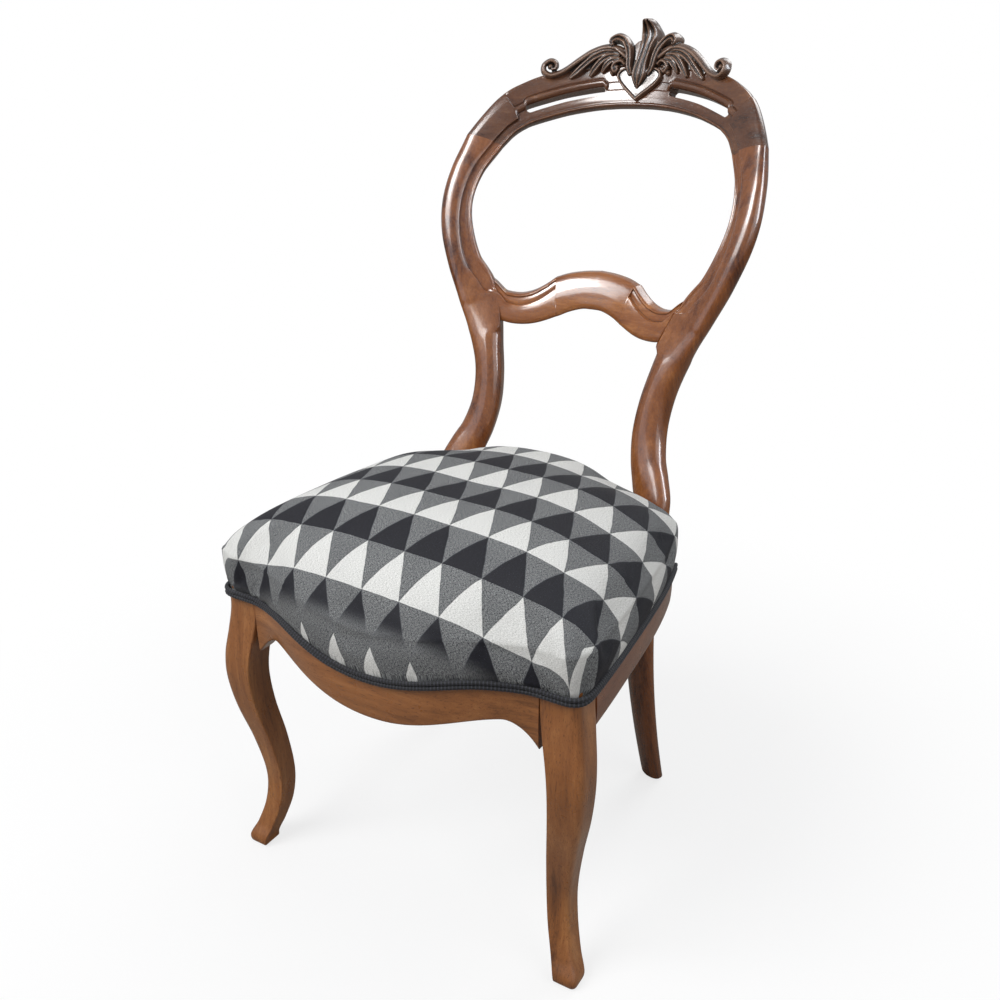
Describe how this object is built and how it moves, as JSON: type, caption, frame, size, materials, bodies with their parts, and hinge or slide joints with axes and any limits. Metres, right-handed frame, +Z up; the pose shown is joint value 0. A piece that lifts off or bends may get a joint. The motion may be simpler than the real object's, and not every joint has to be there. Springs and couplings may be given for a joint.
{
  "type": "balloon back chair",
  "caption": "Upholstered dining chair with an open balloon back, carved crest, bowed front rail, cabriole front legs and a sprung seat.",
  "frame": {"origin": "on the floor, under the middle of the chair's box", "axes": "+Z up, -Y towards the sitter's knees, which is the front, +X to the right as seen from the front"},
  "size_m": [0.4596, 0.6531, 0.93],
  "materials": {
    "leg_wood": "polished",
    "post_wood": "polished",
    "crest_wood": "polished",
    "rail_wood": "polished",
    "block_wood": "sawn",
    "steel": "dull",
    "dowel_wood": "planed",
    "webbing": "woven",
    "tack_iron": "blued",
    "twine": "twisted",
    "hessian": "woven",
    "stuffing": "fibrous",
    "seat_cover": "woven",
    "double_piping": "ribbed",
    "dust_cover": "woven"
  },
  "bodies": {
    "root": {"front_leg_left": "leg_wood", "front_leg_right": "leg_wood", "rear_post_left": "post_wood", "rear_post_right": "post_wood", "crest_rail": "crest_wood", "crest_carving": "crest_wood", "cross_rail": "post_wood", "front_rail": "rail_wood", "side_rail_left": "rail_wood", "side_rail_right": "rail_wood", "rear_rail": "rail_wood", "corner_block_front_left": "block_wood", "corner_block_front_right": "block_wood", "corner_block_rear_left": "block_wood", "corner_block_rear_right": "block_wood", "corner_block_screws": "steel", "seat_frame_dowels": "dowel_wood", "crest_dowels": "dowel_wood", "cross_rail_dowels": "dowel_wood", "webbing_across": "webbing", "webbing_lengthways": "webbing", "webbing_tacks": "tack_iron", "seat_springs": "steel", "spring_twine": "twine", "hessian": "hessian", "stuffing": "stuffing", "seat_cover": "seat_cover", "double_piping": "double_piping", "dust_cover": "dust_cover", "dust_cover_tacks": "tack_iron"}
  },
  "joints": []
}
